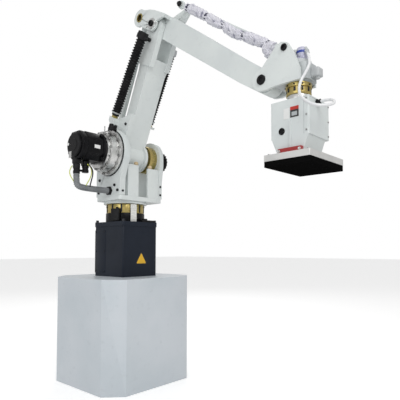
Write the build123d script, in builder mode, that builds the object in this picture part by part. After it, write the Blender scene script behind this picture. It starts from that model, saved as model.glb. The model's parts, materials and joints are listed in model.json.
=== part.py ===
from build123d import *

import os
from math import atan2, cos, degrees, hypot, pi, radians, sin, tan

# Four-axis palletizing arm on a chamfered pedestal, with a suction gripper.
# Millimetres. Origin on the floor under the turning axis, +Z up, +X along the
# arm's reach, so that the arm works in the plane Y = 0.

# ---- driving dimensions --------------------------------------------------

PEDESTAL_SIDE = 540
PEDESTAL_HEIGHT = 520
PEDESTAL_CHAMFER = 80
PEDESTAL_WALL = 6
ANCHOR_SPACING = 400
ANCHOR_HOLE_R = 9

HOUSING_X, HOUSING_Y = 240, 215
HOUSING_TOP = 774
HOUSING_CENTRE_Y = 5
LID_TOP = 797
RING_TOP = 843
REDUCER_TOP = 889
TURNTABLE_TOP = 903
FLOOR_TOP = 925

SHOULDER_X, SHOULDER_Z = 34, 1140
ARM_LENGTH = 648
ARM_LEAN = 24
FOREARM_LENGTH = 754
FOREARM_DROP = 34.7

LEVEL_X, LEVEL_Z = 102, 95
TAIL_X, TAIL_Z = -91, 60
REAR_X, REAR_Z = -110, 60

NEAR_CHEEK_Y = (-123, -90)
FAR_CHEEK_Y = (125, 149)
CHEEK_HEAD_R = 122
TURRET_BACK, TURRET_FRONT = -82, 118

TOOL_X = 1045
GRIPPER_X = 1066
FOAM_BOTTOM = 948
FOAM_TOP = 969
PLATE_TOP = 992
BOX_BOTTOM = 1052
BOX_TOP = 1187

RUNNING_GAP = 0.05

# ---- places worked out from them -----------------------------------------

ELBOW_X = SHOULDER_X + ARM_LENGTH * sin(radians(ARM_LEAN))
ELBOW_Z = SHOULDER_Z + ARM_LENGTH * cos(radians(ARM_LEAN))
WRIST_X = ELBOW_X + FOREARM_LENGTH * cos(radians(FOREARM_DROP))
WRIST_Z = ELBOW_Z - FOREARM_LENGTH * sin(radians(FOREARM_DROP))


def side_plane(y):
    """The X-Z plane at y, which extrudes towards -Y."""
    return Plane.XZ.offset(-y)


def arm_plane(y):
    """At the shoulder: local x points forward of the lower arm, local y along it."""
    lean = radians(ARM_LEAN)
    return Plane(
        origin=(SHOULDER_X, y, SHOULDER_Z),
        x_dir=(cos(lean), 0, -sin(lean)),
        z_dir=(0, -1, 0),
    )


def forearm_plane(y):
    """At the elbow: local x runs along the forearm, local y is its upper side."""
    drop = radians(FOREARM_DROP)
    return Plane(
        origin=(ELBOW_X, y, ELBOW_Z),
        x_dir=(cos(drop), 0, -sin(drop)),
        z_dir=(0, -1, 0),
    )


def bar(start, end, width):
    """Adds a bar between two points to the sketch being drawn."""
    run_x, run_y = end[0] - start[0], end[1] - start[1]
    middle = ((start[0] + end[0]) / 2, (start[1] + end[1]) / 2)
    angle = degrees(atan2(run_y, run_x))
    with Locations(Location((*middle, 0), (0, 0, angle))):
        Rectangle(hypot(run_x, run_y), width)


def y_pins(pins):
    """Round pins along Y as one group of solids: (x, z, radius, low y, high y) each."""
    with BuildPart() as group:
        for x, z, radius, low, high in pins:
            with BuildSketch(side_plane(high)):
                with Locations((x, z)):
                    Circle(radius)
            extrude(amount=high - low)
    return group


def rod_with_eyes(start, end, low, high, eye_r, bore_r, rod_width):
    """A link rod between two bored eyes, all of one thickness from low to high Y."""
    with BuildPart() as rod:
        with BuildSketch(side_plane(high)):
            bar(start, end, rod_width)
            with Locations(start, end):
                Circle(eye_r)
                Circle(bore_r, mode=Mode.SUBTRACT)
        extrude(amount=high - low)
    return rod


def octagon_side(side):
    """Draws the pedestal's square with its corners cut off."""
    with BuildSketch(Plane.XY) as outline:
        Rectangle(side, side)
        cut = PEDESTAL_CHAMFER - (PEDESTAL_SIDE - side) * (1 - tan(radians(22.5))) / 2
        chamfer(outline.vertices(), cut)
    return outline.sketch


# ---- pedestal and fixed base ---------------------------------------------

inner_side = PEDESTAL_SIDE - 2 * PEDESTAL_WALL
outer_outline = octagon_side(PEDESTAL_SIDE)
inner_outline = octagon_side(inner_side)
TOP_THICK = 20
FOOT_THICK = 15

with BuildPart() as pedestal_shell:
    add(outer_outline)
    extrude(amount=PEDESTAL_HEIGHT)
    add(inner_outline)
    extrude(amount=PEDESTAL_HEIGHT, mode=Mode.SUBTRACT)
    chamfer(pedestal_shell.faces().sort_by(Axis.Z)[-1].outer_wire().edges(), 2)

with BuildPart() as pedestal_foot:
    add(inner_outline)
    extrude(amount=FOOT_THICK)
    with GridLocations(ANCHOR_SPACING, ANCHOR_SPACING, 2, 2):
        Hole(ANCHOR_HOLE_R)

with BuildPart() as pedestal_top:
    with BuildSketch(Plane.XY.offset(PEDESTAL_HEIGHT - TOP_THICK)):
        add(inner_outline)
    extrude(amount=TOP_THICK)

HOUSING_WALL = 12
with BuildPart() as base_housing:
    with BuildSketch(Plane.XY.offset(PEDESTAL_HEIGHT)):
        with Locations((0, HOUSING_CENTRE_Y)):
            RectangleRounded(HOUSING_X, HOUSING_Y, 8)
    extrude(amount=HOUSING_TOP - PEDESTAL_HEIGHT)
    with BuildSketch(Plane.XY.offset(PEDESTAL_HEIGHT + HOUSING_WALL)):
        with Locations((0, HOUSING_CENTRE_Y)):
            Rectangle(HOUSING_X - 2 * HOUSING_WALL, HOUSING_Y - 2 * HOUSING_WALL)
    extrude(amount=HOUSING_TOP - PEDESTAL_HEIGHT, mode=Mode.SUBTRACT)

LID_BORE_R = 50
with BuildPart() as base_lid:
    with BuildSketch(Plane.XY.offset(HOUSING_TOP)):
        with Locations((0, HOUSING_CENTRE_Y)):
            RectangleRounded(HOUSING_X + 6, HOUSING_Y + 6, 10)
        Circle(LID_BORE_R, mode=Mode.SUBTRACT)
    extrude(amount=LID_TOP - HOUSING_TOP)

with BuildPart() as lid_bolts:
    with BuildSketch(Plane.XY.offset(LID_TOP)):
        with Locations((0, HOUSING_CENTRE_Y)):
            with GridLocations(HOUSING_X - 16, HOUSING_Y - 16, 2, 2):
                Circle(9)
    extrude(amount=12)

# The turning motor hangs under the lid, inside the housing.
with BuildPart() as turn_motor:
    with BuildSketch(Plane.XY.offset(HOUSING_TOP - 16)):
        RectangleRounded(130, 130, 12)
    extrude(amount=16)
    with BuildSketch(Plane.XY.offset(HOUSING_TOP - 176)):
        RectangleRounded(116, 116, 20)
    extrude(amount=160)
    with BuildSketch(Plane.XY.offset(HOUSING_TOP)):
        Circle(24)
    extrude(amount=60)

with BuildPart() as adapter_ring:
    with BuildSketch(Plane.XY.offset(LID_TOP)):
        Circle(99)
        Circle(LID_BORE_R + 14, mode=Mode.SUBTRACT)
    extrude(amount=RING_TOP - LID_TOP)

SPIGOT_R = 40
with BuildPart() as turn_reducer:
    with BuildSketch(Plane.XY.offset(RING_TOP)):
        Circle(96)
        Circle(SPIGOT_R + RUNNING_GAP, mode=Mode.SUBTRACT)
    extrude(amount=REDUCER_TOP - RING_TOP)

with BuildPart() as home_sensor:
    with BuildSketch(Plane.XY.offset(LID_TOP)):
        with Locations(Location((52, -98, 0), (0, 0, -62))):
            Rectangle(20, 46)
        Circle(99.3, mode=Mode.SUBTRACT)
    extrude(amount=66)

with BuildPart() as cable_strap:
    with BuildSketch(Plane.XY.offset(LID_TOP)):
        with Locations(Location((104, -26, 0), (0, 0, -14))):
            Rectangle(6, 34)
    extrude(amount=90)

# ---- turret, which turns on the base -------------------------------------

with BuildPart() as turntable:
    with BuildSketch(Plane.XY.offset(REDUCER_TOP + 1)):
        Circle(110)
    extrude(amount=TURNTABLE_TOP - REDUCER_TOP - 1)
    with BuildSketch(Plane.XY.offset(RING_TOP + 22)):
        Circle(SPIGOT_R)
    extrude(amount=REDUCER_TOP - RING_TOP - 20)

floor_low_y, floor_high_y = NEAR_CHEEK_Y[0], FAR_CHEEK_Y[1]
floor_middle = ((TURRET_BACK + TURRET_FRONT) / 2, (floor_low_y + floor_high_y) / 2)
with BuildPart() as turret_floor:
    with BuildSketch(Plane.XY.offset(TURNTABLE_TOP)):
        with Locations(floor_middle):
            RectangleRounded(TURRET_FRONT - TURRET_BACK, floor_high_y - floor_low_y, 14)
    extrude(amount=FLOOR_TOP - TURNTABLE_TOP)

OUTPUT_R = 58
with BuildPart() as near_cheek:
    with BuildSketch(side_plane(NEAR_CHEEK_Y[1])):
        with BuildLine():
            Polyline(
                (TURRET_BACK, FLOOR_TOP),
                (TURRET_FRONT, FLOOR_TOP),
                (TURRET_FRONT + 3, 1010),
                (SHOULDER_X + CHEEK_HEAD_R, 1110),
                (SHOULDER_X + CHEEK_HEAD_R, SHOULDER_Z),
                (SHOULDER_X - CHEEK_HEAD_R, SHOULDER_Z),
                (SHOULDER_X - CHEEK_HEAD_R, 1110),
                (TURRET_BACK, 1060),
                close=True,
            )
        make_face()
        with Locations((SHOULDER_X, SHOULDER_Z)):
            Circle(CHEEK_HEAD_R)
            Circle(OUTPUT_R + 4, mode=Mode.SUBTRACT)
    extrude(amount=NEAR_CHEEK_Y[1] - NEAR_CHEEK_Y[0])

lug = (SHOULDER_X + REAR_X, SHOULDER_Z + REAR_Z)
LINK_PIN_R = 10
LOW_ROD_Y = (85, 97)
FAR_HEAD_R = 96
with BuildPart() as far_cheek:
    with BuildSketch(side_plane(FAR_CHEEK_Y[1])):
        with BuildLine():
            Polyline(
                (TURRET_BACK, FLOOR_TOP),
                (TURRET_FRONT, FLOOR_TOP),
                (TURRET_FRONT, 1010),
                (SHOULDER_X + FAR_HEAD_R, 1100),
                (SHOULDER_X + FAR_HEAD_R, SHOULDER_Z),
                lug,
                (TURRET_BACK, 1060),
                close=True,
            )
        make_face()
        with Locations((SHOULDER_X, SHOULDER_Z)):
            Circle(FAR_HEAD_R)
        with Locations(lug):
            Circle(24)
        with Locations((SHOULDER_X, SHOULDER_Z)):
            Circle(42, mode=Mode.SUBTRACT)
    extrude(amount=FAR_CHEEK_Y[1] - FAR_CHEEK_Y[0])
    # Boss and pin for the lower rod.
    with BuildSketch(side_plane(FAR_CHEEK_Y[0])):
        with Locations(lug):
            Circle(20)
    extrude(amount=FAR_CHEEK_Y[0] - LOW_ROD_Y[1] - 1)
    with BuildSketch(side_plane(LOW_ROD_Y[1] + 1)):
        with Locations(lug):
            Circle(LINK_PIN_R)
    extrude(amount=LOW_ROD_Y[1] + 1 - 83)

NEAR_WEB_Y = (-73, -7)
FAR_WEB_Y = (53, FAR_CHEEK_Y[0])
WEB_THICK = 12
NEAR_WEB_TOP = 1085
FAR_WEB_TOP = 1078
with BuildPart() as near_web:
    with BuildSketch(Plane.XY.offset(FLOOR_TOP)):
        with Locations((TURRET_FRONT - WEB_THICK / 2, sum(NEAR_WEB_Y) / 2)):
            Rectangle(WEB_THICK, NEAR_WEB_Y[1] - NEAR_WEB_Y[0])
    extrude(amount=NEAR_WEB_TOP - FLOOR_TOP)
    with BuildSketch(Plane.XY.offset(FLOOR_TOP)):
        with Locations((60, NEAR_WEB_Y[0] + 6)):
            Rectangle(93, 12)
        with Locations((86, (NEAR_CHEEK_Y[1] + NEAR_WEB_Y[0]) / 2)):
            Rectangle(12, NEAR_WEB_Y[0] - NEAR_CHEEK_Y[1])
    extrude(amount=120)

with BuildPart() as far_web:
    with BuildSketch(Plane.XY.offset(FLOOR_TOP)):
        with Locations((TURRET_FRONT - WEB_THICK / 2, sum(FAR_WEB_Y) / 2)):
            Rectangle(WEB_THICK, FAR_WEB_Y[1] - FAR_WEB_Y[0])
    extrude(amount=FAR_WEB_TOP - FLOOR_TOP)

with BuildPart() as bumpers:
    for y, top in ((-20, NEAR_WEB_TOP), (70, FAR_WEB_TOP)):
        with BuildSketch(Plane.XY.offset(top)):
            with Locations((TURRET_FRONT - WEB_THICK / 2, y)):
                Circle(11)
        extrude(amount=18)

# The shoulder drive stands on the near cheek, on the shoulder axis.
DRUM_FACE_Y = -192
with BuildPart() as shoulder_reducer:
    for radius, low, high in ((113, -140, -123), (98, -178, -140), (84, DRUM_FACE_Y, -178)):
        with BuildSketch(side_plane(high)):
            with Locations((SHOULDER_X, SHOULDER_Z)):
                Circle(radius)
        extrude(amount=high - low)

with BuildPart() as reducer_screws:
    for ring_r, face_y, count in ((105.5, -140, 16), (91, -178, 12)):
        with BuildSketch(side_plane(face_y)):
            with Locations((SHOULDER_X, SHOULDER_Z)):
                with PolarLocations(ring_r, count, start_angle=7):
                    Circle(5)
        extrude(amount=7)

MOTOR_Z = SHOULDER_Z + 7
MOTOR_BACK_Y = -328
with BuildPart() as shoulder_motor:
    with BuildSketch(side_plane(DRUM_FACE_Y)):
        with Locations((SHOULDER_X, MOTOR_Z)):
            RectangleRounded(137, 137, 46)
    extrude(amount=96)
    with BuildSketch(side_plane(DRUM_FACE_Y - 96)):
        with Locations((SHOULDER_X, MOTOR_Z)):
            RectangleRounded(129, 129, 44)
    extrude(amount=DRUM_FACE_Y - 96 - MOTOR_BACK_Y)
    chamfer(shoulder_motor.faces().sort_by(Axis.Y)[0].edges(), 9)

PLUG_Y = -308
PLUG_BOTTOM = MOTOR_Z - 64.5 - 70
with BuildPart() as motor_plugs:
    for y, half_frame, bottom in ((PLUG_Y, 64.5, PLUG_BOTTOM), (-262, 68.5, PLUG_BOTTOM + 10)):
        with BuildSketch(Plane.XY.offset(bottom)):
            with Locations((SHOULDER_X, y)):
                RectangleRounded(34, 32, 8)
        extrude(amount=MOTOR_Z - half_frame - bottom)

# The motor's cables run in a grey conduit from the rear plug to the near cheek.
MOTOR_CONDUIT_R = 15
with BuildPart() as motor_conduit:
    with BuildLine() as path:
        FilletPolyline(
            (SHOULDER_X, PLUG_Y, PLUG_BOTTOM),
            (SHOULDER_X, PLUG_Y, 950),
            (SHOULDER_X, NEAR_CHEEK_Y[0], 950),
            radius=46,
        )
    with BuildSketch(Plane.XY.offset(PLUG_BOTTOM)):
        with Locations((SHOULDER_X, PLUG_Y)):
            Circle(MOTOR_CONDUIT_R)
    sweep()

# The elbow drive stands on the far cheek, on the same axis; its stub carries
# the crank and the far side of the lower arm's hub.
STUB_R = 30
with BuildPart() as elbow_reducer:
    for radius, low, high in ((72, 80, 125), (STUB_R, 40, 80), (41.9, 125, 149)):
        with BuildSketch(side_plane(high)):
            with Locations((SHOULDER_X, SHOULDER_Z)):
                Circle(radius)
        extrude(amount=high - low)

ELBOW_MOTOR_END = 222
with BuildPart() as elbow_motor:
    with BuildSketch(side_plane(ELBOW_MOTOR_END)):
        with Locations((SHOULDER_X, SHOULDER_Z)):
            Circle(57)
    extrude(amount=ELBOW_MOTOR_END - FAR_CHEEK_Y[1])
    chamfer(elbow_motor.faces().sort_by(Axis.Y)[-1].edges(), 6)

# ---- lower arm -----------------------------------------------------------

HUB_NEAR_Y, HUB_FAR_Y = -63, 62
BEAM_BACK, BEAM_FRONT = -38, 30
EAR_R = 47
EAR_START = 500
SHAFT_R = 14
with BuildPart() as lower_arm:
    # Hub: output boss, near disc, barrel and far disc.
    discs = (
        (OUTPUT_R, -122, HUB_NEAR_Y),
        (78, HUB_NEAR_Y, -47),
        (60, -47, 47),
        (74, 47, HUB_FAR_Y),
    )
    for radius, low, high in discs:
        with BuildSketch(side_plane(high)):
            with Locations((SHOULDER_X, SHOULDER_Z)):
                Circle(radius)
        extrude(amount=high - low)
    # Beam: a box section, open behind, that spreads into the elbow fork.
    with BuildSketch(arm_plane(58)):
        with BuildLine():
            Polyline(
                (BEAM_BACK, 40),
                (BEAM_BACK, 430),
                (-EAR_R, EAR_START),
                (-EAR_R, ARM_LENGTH),
                (EAR_R, ARM_LENGTH),
                (EAR_R, EAR_START),
                (BEAM_FRONT, 430),
                (BEAM_FRONT, 40),
                close=True,
            )
        make_face()
        with Locations((0, ARM_LENGTH)):
            Circle(EAR_R)
    extrude(amount=116)
    # Thicker ears at the elbow.
    for high in (62, -35):
        with BuildSketch(arm_plane(high)):
            with Locations((0, (EAR_START + ARM_LENGTH) / 2 - 20)):
                Rectangle(2 * EAR_R, ARM_LENGTH - EAR_START + 40)
            with Locations((0, ARM_LENGTH)):
                Circle(EAR_R)
        extrude(amount=27)
    # Fork gap for the forearm.
    with BuildSketch(arm_plane(35)):
        with Locations((0, EAR_START + 150)):
            Rectangle(2 * EAR_R + 20, 300)
    extrude(amount=70, mode=Mode.SUBTRACT)
    # Channel in the back of the beam.
    with BuildSketch(arm_plane(46)):
        with Locations((BEAM_BACK, 275)):
            Rectangle(2 * 52, 320)
    extrude(amount=92, mode=Mode.SUBTRACT)
    # Near-side boss that carries the conduit gland.
    with BuildSketch(arm_plane(-56)):
        with BuildLine():
            Polyline(
                (-30, 40), (-72, 130), (-72, 170.5), (-58, 168.4), (36, 220), (36, 60), close=True
            )
        make_face()
    extrude(amount=30)
    # The seats the two glands stand on, square to their conduits.
    with BuildSketch(arm_plane(-56)):
        with BuildLine():
            Polyline((-98, 152), (-98, 175), (-58, 168.4), (-50, 140), (-72, 130), close=True)
        make_face()
    extrude(amount=58)
    with BuildSketch(arm_plane(132)):
        with BuildLine():
            Polyline((-80, 166), (-80, 180), (-32, 177), (-32, 166), close=True)
        make_face()
    extrude(amount=74)
    # Elbow shaft bore and shoulder stub bore.
    with BuildSketch(side_plane(200)):
        with Locations((ELBOW_X, ELBOW_Z)):
            Circle(SHAFT_R)
    extrude(amount=400, mode=Mode.SUBTRACT)
    with BuildSketch(side_plane(200)):
        with Locations((SHOULDER_X, SHOULDER_Z)):
            Circle(STUB_R + RUNNING_GAP)
    extrude(amount=161, mode=Mode.SUBTRACT)

elbow_shaft = y_pins([(ELBOW_X, ELBOW_Z, SHAFT_R, -81, 84)])
elbow_cap = y_pins([(ELBOW_X, ELBOW_Z, 20, -92, -81)])

# Two corrugated cable conduits, held at both ends by the lower arm.
NEAR_CONDUIT = ((46, -96, 1352), (124, -99, 1470), (200, -104, 1585), (272, -109, 1678))
FAR_CONDUIT = ((66, 112, 1350), (126, 112, 1465), (184, 112, 1580), (238, 112, 1685))
NEAR_CONDUIT_R, FAR_CONDUIT_R = 23, 21


def conduit(points, radius):
    """A tube along a gently bent run."""
    with BuildPart() as tube:
        with BuildLine() as path:
            FilletPolyline(*points, radius=400)
        start = Plane(origin=path.line @ 0, z_dir=path.line % 0)
        with BuildSketch(start):
            Circle(radius)
        sweep()
    return tube


near_conduit = conduit(NEAR_CONDUIT, NEAR_CONDUIT_R)
far_conduit = conduit(FAR_CONDUIT, FAR_CONDUIT_R)


def end_plane(points, end, distance):
    """A plane square to the conduit, a distance outside one of its ends."""
    tip, neck = (points[0], points[1]) if end == "low" else (points[-1], points[-2])
    outward = (Vector(*tip) - Vector(*neck)).normalized()
    return Plane(origin=Vector(*tip) + outward * distance, z_dir=outward)


with BuildPart() as conduit_glands:
    for points, radius in ((NEAR_CONDUIT, NEAR_CONDUIT_R), (FAR_CONDUIT, FAR_CONDUIT_R)):
        with BuildSketch(end_plane(points, "low", 0)):
            Circle(radius - 3)
        extrude(amount=14)
        with BuildSketch(end_plane(points, "low", 14)):
            RegularPolygon(16, 6)
        extrude(amount=12)

CUFF_WALL = 4
CUFF_GRIP = 24
with BuildPart() as conduit_cuffs:
    for points, radius, ear_y in (
        (NEAR_CONDUIT, NEAR_CONDUIT_R, -62),
        (FAR_CONDUIT, FAR_CONDUIT_R, 62),
    ):
        grip = end_plane(points, "high", -CUFF_GRIP / 2).origin
        stud_low, stud_high = sorted((grip.Y, ear_y))
        with BuildSketch(side_plane(stud_high)):
            with Locations((grip.X, grip.Z)):
                Circle(9)
        extrude(amount=stud_high - stud_low)
        with BuildSketch(end_plane(points, "high", -CUFF_GRIP)):
            Circle(radius + CUFF_WALL)
        extrude(amount=CUFF_GRIP + 8)
        with BuildSketch(end_plane(points, "high", -CUFF_GRIP - 20)):
            Circle(radius)
        extrude(amount=CUFF_GRIP + 20, mode=Mode.SUBTRACT)

# ---- elbow link, which stays level ---------------------------------------

LINK_Y = (66, 78)
apex = (ELBOW_X + LEVEL_X, ELBOW_Z + LEVEL_Z)
rear = (ELBOW_X + REAR_X, ELBOW_Z + REAR_Z)
elbow = (ELBOW_X, ELBOW_Z)
with BuildPart() as elbow_link:
    with BuildSketch(side_plane(LINK_Y[1])):
        bar(elbow, apex, 38)
        bar(elbow, rear, 34)
        bar(rear, apex, 30)
        with Locations(elbow):
            Circle(30)
        with Locations(apex, rear):
            Circle(20)
        with Locations(elbow):
            Circle(SHAFT_R + RUNNING_GAP, mode=Mode.SUBTRACT)
    extrude(amount=LINK_Y[1] - LINK_Y[0])

UP_ROD_Y = (13, 27)
link_pins = y_pins([(*apex, LINK_PIN_R, 8, LINK_Y[0]), (*rear, LINK_PIN_R, LINK_Y[1], 99)])
link_knob = y_pins([(*apex, 15, -6, 8)])

# ---- forearm -------------------------------------------------------------

TAIL_PIN_R = 16
TAIL_NEAR_Y = (-80, -68)
tail = (ELBOW_X + TAIL_X, ELBOW_Z + TAIL_Z)
tail_reach = hypot(TAIL_X, TAIL_Z)
with BuildPart() as forearm:
    with BuildSketch(forearm_plane(33)):
        with BuildLine():
            Polyline(
                (-148, 26),
                (-70, 46),
                (-15, 61),
                (83, 68),
                (292, 60),
                (574, 45),
                (FOREARM_LENGTH, 40),
                (FOREARM_LENGTH, -44),
                (640, -48),
                (364, -44),
                (60, -40),
                (-60, -38),
                (-148, -30),
                close=True,
            )
        make_face()
        with Locations((FOREARM_LENGTH, 0)):
            Circle(44)
    extrude(amount=66)
    # Rounded end of the tail, and room beside it for the drive rod.
    with BuildSketch(side_plane(33)):
        with Locations(tail):
            Circle(42)
    extrude(amount=53)
    with BuildSketch(forearm_plane(-20)):
        with Locations((-145, 0)):
            Rectangle(190, 200)
    extrude(amount=60, mode=Mode.SUBTRACT)
    # Bridge over the near ear to the tail plate.
    with BuildSketch(forearm_plane(-33)):
        with BuildLine():
            Polyline((-58, 51), (-58, 53), (-15, 61), (60, 66), (60, 51), close=True)
        make_face()
    extrude(amount=-33 - TAIL_NEAR_Y[1])
    # Bores: elbow shaft, tail pin and wrist shaft.
    with BuildSketch(side_plane(60)):
        with Locations(elbow):
            Circle(SHAFT_R + RUNNING_GAP)
        with Locations((WRIST_X, WRIST_Z)):
            Circle(12 + RUNNING_GAP)
        with Locations(tail):
            Circle(TAIL_PIN_R)
    extrude(amount=120, mode=Mode.SUBTRACT)

BUSHING_R = 21
with BuildPart() as tail_plate:
    with BuildSketch(side_plane(TAIL_NEAR_Y[1])):
        bar(tail, elbow, 66)
        with Locations(tail):
            Circle(42)
        with Locations(elbow):
            Circle(33)
    extrude(amount=TAIL_NEAR_Y[1] - TAIL_NEAR_Y[0])
    with BuildSketch(forearm_plane(TAIL_NEAR_Y[1])):
        with BuildLine():
            Polyline(
                (-140, 22), (-58, 53), (-15, 61), (60, 66), (60, 51), (22, 20), (-60, -20), close=True
            )
        make_face()
    extrude(amount=TAIL_NEAR_Y[1] - TAIL_NEAR_Y[0])
    with BuildSketch(side_plane(0)):
        with Locations(elbow):
            Circle(SHAFT_R + RUNNING_GAP)
        with Locations(tail):
            Circle(BUSHING_R)
    extrude(amount=120, mode=Mode.SUBTRACT)

with BuildPart() as tail_bushing:
    with BuildSketch(side_plane(TAIL_NEAR_Y[1])):
        with Locations(tail):
            Circle(BUSHING_R)
            Circle(TAIL_PIN_R, mode=Mode.SUBTRACT)
    extrude(amount=14)

tail_pin = y_pins([(*tail, TAIL_PIN_R, -71, 30)])

# ---- wrist, which stays level --------------------------------------------

WRIST_SHAFT_R = 12
wrist = (WRIST_X, WRIST_Z)
wrist_top = (WRIST_X + LEVEL_X, WRIST_Z + LEVEL_Z)
CHEEK_THICK = 12
WRIST_HALF = 48


def wrist_cheek(high):
    """One side plate of the wrist, with its high face at the given Y."""
    with BuildPart() as plate:
        with BuildSketch(side_plane(high)):
            with BuildLine():
                Polyline(
                    (WRIST_X - 30, WRIST_Z + 30),
                    (WRIST_X + 2, WRIST_Z + 46),
                    (WRIST_X + 66, WRIST_Z + 112),
                    (WRIST_X + 90, WRIST_Z + 120),
                    (WRIST_X + 116, WRIST_Z + 110),
                    (WRIST_X + 142, WRIST_Z + 66),
                    (WRIST_X + 166, WRIST_Z + 4),
                    (WRIST_X + 168, WRIST_Z - 38),
                    (WRIST_X + 60, WRIST_Z - 38),
                    (WRIST_X + 20, WRIST_Z - 44),
                    (WRIST_X - 20, WRIST_Z - 38),
                    close=True,
                )
            make_face()
            with Locations(wrist):
                Circle(42)
            with Locations(wrist):
                Circle(WRIST_SHAFT_R, mode=Mode.SUBTRACT)
            with Locations(wrist_top):
                Circle(LINK_PIN_R, mode=Mode.SUBTRACT)
        extrude(amount=CHEEK_THICK)
    return plate


wrist_near_cheek = wrist_cheek(-WRIST_HALF)
wrist_far_cheek = wrist_cheek(WRIST_HALF + CHEEK_THICK)

HOUSING_LOW = WRIST_Z - 38
HOUSING_HIGH = WRIST_Z + 46
with BuildPart() as wrist_housing:
    with BuildSketch(Plane.XY.offset(HOUSING_LOW)):
        with Locations(((WRIST_X + 52 + TOOL_X) / 2, 0)):
            Rectangle(TOOL_X - WRIST_X - 52, 2 * WRIST_HALF)
        with Locations((TOOL_X, 0)):
            Circle(47.9)
    extrude(amount=HOUSING_HIGH - HOUSING_LOW)
    with BuildSketch(Plane.XY.offset(HOUSING_LOW + 6)):
        with Locations((TOOL_X + 26, 0)):
            RectangleRounded(64, 88, 20)
    extrude(amount=62)

wrist_pins = y_pins(
    [
        (*wrist, WRIST_SHAFT_R, -60, 60),
        (*wrist_top, LINK_PIN_R, -60, 60),
    ]
)
wrist_caps = y_pins(
    [
        (*wrist, 18, -67, -60),
        (*wrist_top, 12, -67, -60),
        (*wrist, 18, 60, 67),
        (*wrist_top, 12, 60, 67),
    ]
)

# The air hose hangs from the wrist to an elbow fitting on the gripper's front.
HOSE_R = 5
HOSE_ROUTE = (
    (1097, -24, 1364),
    (1116, -38, 1326),
    (1116, -66, 1282),
    (1105, -92, 1240),
    (1109, -112, 1197),
    (1136, -128, 1159),
    (1176, -128, 1131),
    (1211, -104, 1128),
    (1221, -64, 1144),
    (1196, -38, 1172),
    (1154, -38, 1172),
)

# The tool motor stands on the housing; its front carries the hose's bulkhead.
hose_start = Vector(*HOSE_ROUTE[0])
hose_inward = (hose_start - Vector(*HOSE_ROUTE[1])).normalized()
with BuildPart() as tool_motor:
    with BuildSketch(Plane.XY.offset(HOUSING_HIGH)):
        with Locations((TOOL_X + 20, -10)):
            RectangleRounded(40, 40, 8)
    extrude(amount=52)
    with BuildSketch(Plane(origin=hose_start, z_dir=hose_inward)):
        Circle(8)
    extrude(amount=34)

PORT_X = TOOL_X + 58
with BuildPart() as wrist_port:
    with BuildSketch(Plane.YZ.offset(PORT_X)):
        with Locations((6, WRIST_Z - 6)):
            RectangleRounded(36, 32, 5)
    extrude(amount=30)

REDUCER_LOW = 1222
with BuildPart() as tool_reducer:
    with BuildSketch(Plane.XY.offset(REDUCER_LOW)):
        with Locations((TOOL_X, 0)):
            Circle(49)
    extrude(amount=HOUSING_LOW - REDUCER_LOW)

# ---- link rods and the elbow crank ---------------------------------------

rod_bore = LINK_PIN_R + RUNNING_GAP
upper_rod = rod_with_eyes(apex, wrist_top, *UP_ROD_Y, 18, rod_bore, 20)
lower_rod = rod_with_eyes(lug, rear, *LOW_ROD_Y, 18, rod_bore, 20)

crank_point = (SHOULDER_X + TAIL_X, SHOULDER_Z + TAIL_Z)
shoulder = (SHOULDER_X, SHOULDER_Z)
CRANK_Y = (66, 78)
with BuildPart() as crank:
    with BuildSketch(side_plane(CRANK_Y[1])):
        bar(shoulder, crank_point, 50)
        with Locations(shoulder):
            Circle(46)
        with Locations(crank_point):
            Circle(26)
            Circle(TAIL_PIN_R + RUNNING_GAP, mode=Mode.SUBTRACT)
        with Locations(shoulder):
            Circle(STUB_R + RUNNING_GAP, mode=Mode.SUBTRACT)
    extrude(amount=CRANK_Y[1] - CRANK_Y[0])

DRIVE_ROD_Y = (-44, -24)
crank_pin = y_pins([(*crank_point, TAIL_PIN_R, -46, 79.5)])
drive_rod = rod_with_eyes(
    crank_point, tail, *DRIVE_ROD_Y, 25, TAIL_PIN_R + RUNNING_GAP, 24
)

# A simple solid for the textile sleeve that lies along the upper rod and hangs
# down at its wrist end.
SLEEVE_R = 24
SLEEVE_SPAN = (45, 590)
SLEEVE_SLOT = 20
DROOP_R = 19
sleeve_droop = (Vector(868, 20, 1484), Vector(904, 20, 1428))
with BuildPart() as cable_sleeve:
    along = Vector(wrist_top[0] - apex[0], 0, wrist_top[1] - apex[1]).normalized()
    sleeve_start = Vector(apex[0], 20, apex[1]) + along * SLEEVE_SPAN[0]
    with BuildSketch(Plane(origin=sleeve_start, z_dir=along)):
        Circle(SLEEVE_R)
    extrude(amount=SLEEVE_SPAN[1] - SLEEVE_SPAN[0])
    with BuildSketch(Plane(origin=sleeve_droop[0], z_dir=sleeve_droop[1] - sleeve_droop[0])):
        Circle(DROOP_R)
    extrude(amount=(sleeve_droop[1] - sleeve_droop[0]).length)
    with BuildSketch(side_plane(UP_ROD_Y[1])):
        bar(apex, wrist_top, SLEEVE_SLOT)
    extrude(amount=UP_ROD_Y[1] - UP_ROD_Y[0], mode=Mode.SUBTRACT)

# ---- tool, which turns under the wrist -----------------------------------

with BuildPart() as tool_flange:
    with BuildSketch(Plane.XY.offset(BOX_TOP)):
        with Locations((TOOL_X, 0)):
            Circle(44)
    extrude(amount=REDUCER_LOW - 0.5 - BOX_TOP)

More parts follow.
